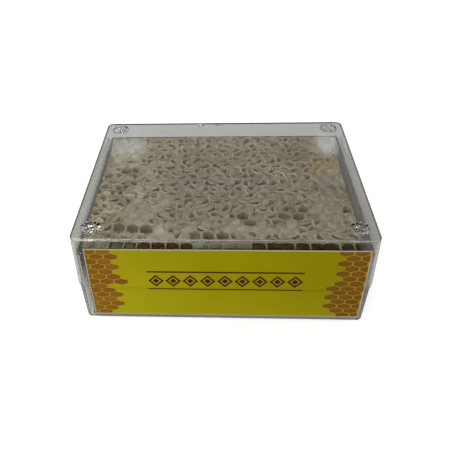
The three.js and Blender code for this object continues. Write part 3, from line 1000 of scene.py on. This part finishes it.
def opened_rings(cell, lifts):
    """The same for a torn or open cell: what is left of the cap, its lip, the wall and the floor."""
    whole = cell.kind == "open"
    depth = open_floor * cell.relief * (1.0 if whole else torn_depth)
    stain = 1.0 if whole else torn_stain
    edges = [hole_edge(cell, spot) for spot in cell.spots]
    rings = []
    for part, share in opened_shares:
        ring = []
        for spot, lift, (edge, middle) in zip(cell.spots, lifts, edges):
            at_wall = 1 - smooth_step(0.35, 0.9, (spot.xy - edge).length)
            wall_z = cell.rim + 0.1 + 0.55 * lift
            if share >= 0:
                x, y = bend_round(cell, edge) * (1 - share) + spot.xy * share
            else:
                x, y = bend_round(cell, middle.lerp(edge, 1 + share))
            if part == "cap":
                near = max(at_wall, smooth_step(0.7, 1.0, share))
                z = cap_height(cell, x, y) * (1 - near) + wall_z * near
                # Painted shade on the cap where its flake doesn't cover it.
                painted_shade = shade_beside_flake * (1 + wave(x, y, 1.2, 28.0))
                ring.append((x, y, z, 0.2 * at_wall * lift, painted_shade))
            elif part == "lip":
                curl = 0.5 + 0.5 * wave(x, y, 1.4, 25.0)
                z = (cap_height(cell, x, y) + 0.35 * curl) * (1 - at_wall) + wall_z * at_wall + share
                # The lip is paler where it curls up, as thin wax and as painted highlight, with painted
                # shade beside the flake.
                bright = clamp(max(2.4 * curl - 1.5, 0.3 * at_wall * lift))
                ring.append((x, y, z, bright, shade_beside_flake))
            elif part == "wall":
                ring.append((x, y, cell.rim - 0.55 * depth, 0.0, 0.7 * stain))
            else:
                ring.append((x, y, cell.rim - depth, 0.0, stain))
        rings.append(ring)
    return rings, (*bend_round(cell, edges[0][1]), cell.rim - depth, 0.0, stain)


def make_top_slab(corners, cells):
    """The cells' relief over a flat foot, wider than the block, and each point's marks."""
    points = []
    marks = []
    faces = []
    foot = comb_foot - 1

    def add(x, y, z, rim=0.0, stain_and_shade=0.0, tone=0.0):
        points.append((*warp(x, y), z))
        marks.append((rim, stain_and_shade, tone))
        return len(points) - 1

    lifts = {}
    for cell in cells:
        cell.names, cell.spots = border_spots(cell, corners)
        for name, spot in zip(cell.names, cell.spots):
            lifts[name] = max(lifts.get(name, 0.0), wall_lift(cell, spot))

    walls = {}
    loose_edges = {}
    for cell in cells:
        for name, spot in zip(cell.names, cell.spots):
            if name not in walls:
                lift = lifts[name]
                top = spot.z - 0.15 * (lift == 0) + lift * (0.75 + 0.5 * wave(spot.x, spot.y, 2.0, 26.0))
                # Standing walls are painted paler: thin wax, and painted highlight.
                bright = clamp(lift * (0.25 + 1.4 * wave(spot.x, spot.y, 4.0, 27.0)))
                walls[name] = add(spot.x, spot.y, top, bright)
                add(spot.x, spot.y, foot)
        border = [walls[name] for name in cell.names]
        make_rings = sealed_rings if cell.kind == "sealed" else opened_rings
        rings, center = make_rings(cell, [lifts[name] for name in cell.names])
        outer = border
        for ring in rings:
            inner = [add(*spot, cell.tone) for spot in ring]
            faces += bridge(outer, inner)
            outer = inner
        middle = add(*center, cell.tone)
        under = add(cell.x, cell.y, foot)
        for (a, b), (start, end) in zip(neighbours(outer), neighbours(border)):
            faces += [(a, b, middle), (end + 1, start + 1, under)]
            if loose_edges.pop((end, start), None) is None:
                loose_edges[start, end] = True
    faces += [(start, start + 1, end + 1, end) for start, end in loose_edges]
    return (points, faces), marks


# ---- Comb: the knife's cut ----
def block(inset):
    """The cut block's outline as a box, set in from its sides."""
    left, front = comb_low.x + inset, comb_low.y + inset
    right, back = comb_high.x - inset, comb_high.y - inset
    outline = [(right, front), (right, back), (left, back), (left, front)]
    return skin_rings([at_height(outline, z) for z in (comb_foot, comb_top + 6)])


def hollow(spots, low, high, share):
    """A cell's hollow: a six-sided tube with blunt ends."""
    middle = sum(spots, Vector((0, 0, 0))) / 6
    rings = []
    for z, width in [(low, 0.55), (low + hollow_blunt, 1.0), (high - hollow_blunt, 1.0), (high, 0.6)]:
        ring = []
        for a, b in neighbours(spots):
            for step in range(hollow_steps):
                spot = a.lerp(b, (step + 0.5) / hollow_steps)
                ring.append((*(middle + (spot - middle) * share * width).xy, z))
        rings.append(ring)
    return skin_rings(rings)


def cut_cells(corners, cells):
    """Every hollow that the knife went through: its corners, and the heights of wax and honey.

    The ones that overlap a wide neighbour come in a list of their own.
    """
    half_x, half_y = comb_length / 2, comb_depth / 2
    midrib_low = midrib_height - midrib_thickness / 2
    midrib_high = midrib_height + midrib_thickness / 2
    lower_foot = comb_foot + 0.9
    found = []
    partners = []
    for cell in cells:
        spots = [Vector((*warp(corners[key].x, corners[key].y), 0)) for key in cell.keys]
        lower = [spot + Vector((0, cell_corner, 0)) for spot in spots]
        in_front = cell.y < comb_low.y + front_row
        seat = math.floor(cell.x / cell_pitch) % 3 if cell.x > wide_from and in_front else 2
        for spot in spots:
            if seat == 0 and spot.x > cell.x + 1:
                spot.x += wide_reach
            elif seat == 1 and spot.x < cell.x - 1:
                spot.x -= wide_reach
        if cell.kind == "open":
            upper = (spots, midrib_high, cell.rim + 4, cell.rim + honey_rise)
        else:
            upper = (spots, midrib_high, cell.rim - 1.0, cell.rim - 1.0)
        for tube in (upper, (lower, lower_foot, midrib_low, midrib_low)):
            reach_x = [abs(spot.x - comb_center_x) for spot in tube[0]]
            reach_y = [abs(spot.y - comb_center_y) for spot in tube[0]]
            inside = min(reach_x) < half_x and min(reach_y) < half_y
            if inside and (max(reach_x) > half_x or max(reach_y) > half_y):
                (partners if seat == 1 and tube is upper else found).append(tube)
    return found, partners


def make_comb(wax_material, honey_material):
    """The comb, its flakes, its curls and the honey behind the knife's cut."""
    corners, cells = lay_out_cells()
    slab, marks = make_top_slab(corners, cells)
    comb = make_piece("wax_comb", slab, wax_material)
    combine(comb, make_piece("block", block(0.0), wax_material), "INTERSECT")
    fillings = []
    for cuts in cut_cells(corners, cells):
        hollows = [hollow(spots, low, high, wall_share) for spots, low, high, _ in cuts]
        combine(comb, make_piece("hollows", join_shells(hollows), wax_material), "DIFFERENCE")
        filled = [hollow(spots, low, level, wall_share + 0.015) for spots, low, _, level in cuts]
        fillings.append(make_piece("honey", join_shells(filled), honey_material))
    paint_marks(comb, slab[0], marks)
    shade_smooth(comb, 55)

    filling = combine(*fillings, "UNION")
    combine(filling, make_piece("inner_block", block(honey_recess), honey_material), "INTERSECT")
    shade_smooth(filling, 40)
    flakes = make_flakes(cells, wax_material)
    return comb, flakes, make_curls(comb, flakes, cells, wax_material), filling


def paint_marks(comb, points, marks):
    """Gives every point of the cut comb the marks of the nearest point before the cut."""
    tree = KDTree(len(points))
    for i, point in enumerate(points):
        tree.insert(point, i)
    tree.balance()
    found = []
    for vertex in comb.data.vertices:
        _, i, gap = tree.find(vertex.co / MM)
        found.append(marks[i] if gap < mark_reach else (0.0, 0.0, 0.0))
    give_marks(comb, found)


def give_marks(piece, marks):
    for name, values in zip(mark_names, zip(*marks)):
        piece.data.attributes.new(name, "FLOAT", "POINT").data.foreach_set("value", values)


# ---- Comb: flakes and curls ----
def half_turn(angle):
    """An angle in radians, taken to within half a turn of 0."""
    return (angle + math.pi) % (2 * math.pi) - math.pi


def on_comb(spot, margin=0.6):
    """Whether a spot lies on the block's top, clear of its edges."""
    beside = abs(spot.x - comb_center_x) < comb_length / 2 - margin
    return beside and abs(spot.y - comb_center_y) < comb_depth / 2 - margin


def make_flake(cell):
    """The rest of a torn cap, as a thin bent flake that leaves the cell's opening free, and its marks."""
    middle = Vector(warp(cell.x, cell.y)) - 0.5 * Vector((math.cos(cell.turn), math.sin(cell.turn)))
    radius = flake_radius * (1 + 0.5 * wave(cell.x, cell.y, 2.9, 51.0))
    tilt = 0.3 + 0.6 * cell.tilt
    levels = [(share, 0) for share in flake_shares]
    levels += [(share, flake_thickness) for share in reversed(flake_shares)]
    rings = []
    marks = []
    for share, below in levels:
        ring = []
        for i in range(flake_sides):
            angle = -2 * math.pi * i / flake_sides
            off = abs(half_turn(angle - cell.turn))
            edge_x, edge_y = middle.x + 2 * math.cos(angle), middle.y + 2 * math.sin(angle)
            ragged = 1 + 0.6 * wave(edge_x, edge_y, 1.7, 52.0) + 0.25 * wave(edge_x, edge_y, 0.7, 55.0)
            reach = radius * share * ragged * (0.42 + 0.58 * smooth_step(0.5, 1.5, off))
            x, y = offset(middle, math.degrees(angle), reach)
            z = cell.rim + 0.15 + 0.4 * cell.relief * (1 - share**2) - below
            z += tilt * reach / flake_radius * math.cos(off) + 0.3 * wave(x, y, 1.5, 53.0)
            # The flake's raised edge is paler, as thin wax and as painted highlight; its tucked-under side
            # gets painted shade.
            bright = smooth_step(0.8, 1.0, share) * (1 - smooth_step(0.6, 1.6, off))
            bright = clamp(bright * (0.2 + 1.2 * wave(x, y, 2.0, 54.0)))
            painted_shade = 0.45 * smooth_step(0.3, 1.0, share) * smooth_step(1.2, 2.6, off)
            ring.append((x, y, z))
            marks.append((bright, painted_shade, cell.tone))
        rings.append(ring)
    return skin_rings(rings), marks


def make_flakes(cells, material):
    torn = [cell for cell in cells if cell.kind == "torn" and on_comb(cell, 3.2)]
    shells, marks = zip(*map(make_flake, torn))
    flakes = make_piece("wax_flakes", join_shells(shells), material, smooth_angle=60)
    give_marks(flakes, [mark for flake_marks in marks for mark in flake_marks])
    return flakes


def curl_path(cell):
    """The way of a torn edge: along a part of its cell's border, and then curling on."""
    facing = []
    for spot in cell.spots:
        angle = half_turn(math.atan2(spot.y - cell.y, spot.x - cell.x) - cell.turn)
        if abs(angle) < 0.9 + 0.5 * cell.tilt:
            facing.append((angle, Vector(warp(spot.x, spot.y))))
    path = [spot for _, spot in sorted(facing, key=lambda pair: pair[0])]
    if len(path) < 3:
        return []
    heading = math.atan2(path[-1].y - path[-2].y, path[-1].x - path[-2].x)
    bend = 0.22 + 0.5 * wave(cell.x, cell.y, 3.1, 45.0)
    for _ in range(round(5 + 12 * abs(wave(cell.x, cell.y, 2.7, 46.0)))):
        heading += bend + 0.3 * wave(path[-1].x, path[-1].y, 1.6, 41.0)
        path.append(path[-1] + Vector((math.cos(heading), math.sin(heading))) * curl_step)
    return path


def rim_path(x, y, half_x, half_y, start, end):
    """An uneven arc, as a long rim of wax goes."""
    steps = max(6, round((end - start) / 12))
    path = []
    for i in range(steps + 1):
        angle = math.radians(start + (end - start) * i / steps)
        cos, sin = math.cos(angle), math.sin(angle)
        ragged = 1 + 0.16 * wave(x + 2 * cos, y + 2 * sin, 1.5, 48.0)
        path.append(Vector((x + half_x * ragged * cos, y + half_y * ragged * sin)))
    return path


def resample(path, step):
    """Even points along a path, rounded off where it has corners."""
    for _ in range(2):
        middle = [(path[i - 1] + 2 * path[i] + path[i + 1]) / 4 for i in range(1, len(path) - 1)]
        path = [path[0], *middle, path[-1]]
    spots = [path[0]]
    left = step
    for a, b in zip(path, path[1:]):
        length = (b - a).length
        while left <= length:
            spots.append(a.lerp(b, left / length))
            left += step
        left -= length
    return spots


def highest(trees, spot):
    """The height of the topmost piece at a spot, or the comb's mean height if there is none."""
    hits = [tree.ray_cast(Vector((*spot, 60)) * MM, Vector((0, 0, -1)))[0] for tree in trees]
    return max([hit.z / MM for hit in hits if hit], default=comb_top)


def make_curl(path, trees):
    """A thin, tapered strip of wax on edge, along a path on the comb's top."""
    spots = resample(path, curl_step)
    last = len(spots) - 1
    rings = []
    for i, spot in enumerate(spots):
        ahead = spots[min(i + 1, last)] - spots[max(i - 1, 0)]
        aside = Vector((-ahead.y, ahead.x)).normalized()
        ground = max(highest(trees, spot), comb_top - 0.6)
        taper = min(1.0, 0.35 + 0.3 * min(i, last - i))
        width = curl_half_width * taper
        rise = curl_rise * taper * (0.7 + 0.6 * wave(*spot, 1.6, 43.0))
        lean = 0.25 * wave(*spot, 3.0, 44.0)
        section = [(-1, -0.3), (1, -0.3), (1, 0.5 * rise), (0.4, rise), (-0.4, rise), (-1, 0.5 * rise)]
        ring = []
        for off, up in section:
            place = spot + aside * (off * width + lean * max(up, 0) / curl_rise)
            ring.append((*place, ground + up))
        rings.append(ring)
    return skin_rings(rings)


def make_curls(comb, flakes, cells, material):
    """The thin edges of torn wax that stand up round the openings and curl over."""
    depsgraph = bpy.context.evaluated_depsgraph_get()
    trees = [BVHTree.FromObject(piece, depsgraph) for piece in (comb, flakes)]
    paths = []
    for cell in cells:
        if cell.kind == "torn" and 0.5 + 0.8 * wave(cell.x, cell.y, 1.9, 42.0) < curl_share:
            near = max(0.0, 1 - math.dist((cell.x, cell.y), palest_curls) / curl_fade)
            # Curls paler: thin wax, and painted highlight.
            bright = 0.25 + 0.5 * near + 0.6 * wave(cell.x, cell.y, 1.3, 47.0)
            paths.append((curl_path(cell), bright))
    paths += [(rim_path(*rim), 0.8) for rim in wide_rims]
    shells = []
    marks = []
    for path, bright in paths:
        path = [spot for spot in path if on_comb(spot)]
        if len(path) >= curl_least:
            shells.append(make_curl(path, trees))
            marks += [(clamp(bright), 0.0, 0.0)] * len(shells[-1][0])
    curls = make_piece("wax_curls", join_shells(shells), material, smooth_angle=80)
    give_marks(curls, marks)
    return curls


# ---- Label ----
def face_inset(z):
    """How far the tray's face stands back from the lid's side."""
    return shoulder_inset + tray_draft * (1 - z / shoulder_height)


def sheet_inset(z):
    """How far the label stands back: along the skirt, over the seam and along the tray."""
    if z > skirt_edge:
        return lid_draft * (z - skirt_edge) / (lid_top - lid_edge_radius - skirt_edge)
    bridge_end = shoulder_height - sheet_bridge
    if z > bridge_end:
        return face_inset(bridge_end) * (skirt_edge - z) / (skirt_edge - bridge_end)
    return face_inset(z)


def make_label(material):
    width = label_high.x - label_low.x
    xs = [label_low.x + width * i / sheet_columns for i in range(sheet_columns + 1)]
    rings = []
    for row in range(sheet_rows + 1):
        z = label_low.z + (label_high.z - label_low.z) * row / sheet_rows
        back = sheet_inset(z) - lid_high.y - sheet_lift
        front = [(x, back - sheet_thickness, z) for x in xs]
        rings.append(front + [(x, back, z) for x in reversed(xs)])
    return make_piece("label_sheet", skin_rings(rings), material)


# ---- Stage ----
def place_camera():
    place = Matrix.Translation(camera_aim * MM)
    for axis, degrees in (("Z", -camera_yaw), ("X", 90 - camera_pitch), ("Z", -camera_roll)):
        place @= Matrix.Rotation(math.radians(degrees), 4, axis)
    data = bpy.data.cameras.new("camera")
    data.sensor_width = sensor_width
    data.lens = camera_focal * sensor_width / picture_size
    data.shift_x = (picture_size / 2 - camera_center_x) / picture_size
    data.clip_start = 0.01
    camera = bpy.data.objects.new("camera", data)
    camera.matrix_world = place @ Matrix.Translation((0, 0, camera_distance * MM))
    bpy.context.scene.collection.objects.link(camera)
    bpy.context.scene.camera = camera


def make_floor():
    """A pale floor. The camera sees it nearly white, as in a cut-out picture.

    The box mirrors and shows it greyer, with a dark strip across that its front wall mirrors.
    """
    graph = Graph(bpy.data.materials.new("floor"))
    grain = graph.noise(120.0)
    pale = graph.blend(grain, (0.80, 0.80, 0.79), (0.83, 0.83, 0.82))
    grey = graph.blend(grain, (0.63, 0.63, 0.62), (0.66, 0.66, 0.65))
    dark = graph.blend(grain, (0.06, 0.05, 0.04), (0.08, 0.07, 0.06))
    from_shade = graph.apart(graph.axes()[1], floor_shade[0])
    clear = graph.spread(from_shade, floor_shade[1], floor_shade[2], smooth=True)
    shaded = graph.diffuse(graph.blend(clear, dark, grey))
    glow = graph.add("Emission", {"Color": (1, 1, 1, 1), "Strength": floor_glow}).outputs[0]
    lit = graph.add("AddShader", {0: graph.diffuse(pale), 1: glow}).outputs[0]
    seen = graph.add("LightPath").outputs["Is Camera Ray"]
    material = graph.finish(graph.mix(seen, shaded, lit))
    outline = [(x * floor_reach, y * floor_reach, 0) for x, y in ((-1, -1), (1, -1), (1, 1), (-1, 1))]
    floor = make_piece("floor", (outline, [(0, 1, 2, 3)]), material)


def make_lights():
    """A warm sky that the camera sees as white, and soft square lamps that face the box."""
    graph = Graph(bpy.data.worlds.new("studio"), "OutputWorld")
    sky = graph.add("Background", {"Color": (1.0, 0.985, 0.95, 1), "Strength": sky_strength}).outputs[0]
    backdrop = graph.add("Background", {"Color": (1, 1, 1, 1)}).outputs[0]
    seen = graph.add("LightPath").outputs["Is Camera Ray"]
    bpy.context.scene.world = graph.finish(graph.mix(seen, sky, backdrop))
    for name, place, size, watts in lamps:
        data = bpy.data.lights.new(name, "AREA")
        data.size = size * MM
        data.energy = watts
        lamp = bpy.data.objects.new(name, data)
        lamp.location = Vector(place) * MM
        lamp.rotation_euler = (-Vector(place)).to_track_quat("-Z", "Y").to_euler()
        bpy.context.scene.collection.objects.link(lamp)


# ---- The scene ----
def mount(piece, node):
    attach(piece, "root")
    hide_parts(node)


bpy.context.scene.view_settings.view_transform = "Standard"
place_camera()
make_lights()
make_floor()

# The tray's rim carries painted shade.
tray_plastic = clear_plastic("tray_plastic", rim_height - rim_shade_depth)
lid_plastic = clear_plastic("lid_plastic")
mount(make_tray(tray_plastic), "base_tray")
mount(make_lid(lid_plastic), "lid")
for piece in make_comb(wax(), honey()):
    mount(piece, "comb")
mount(make_label(label_print()), "label")
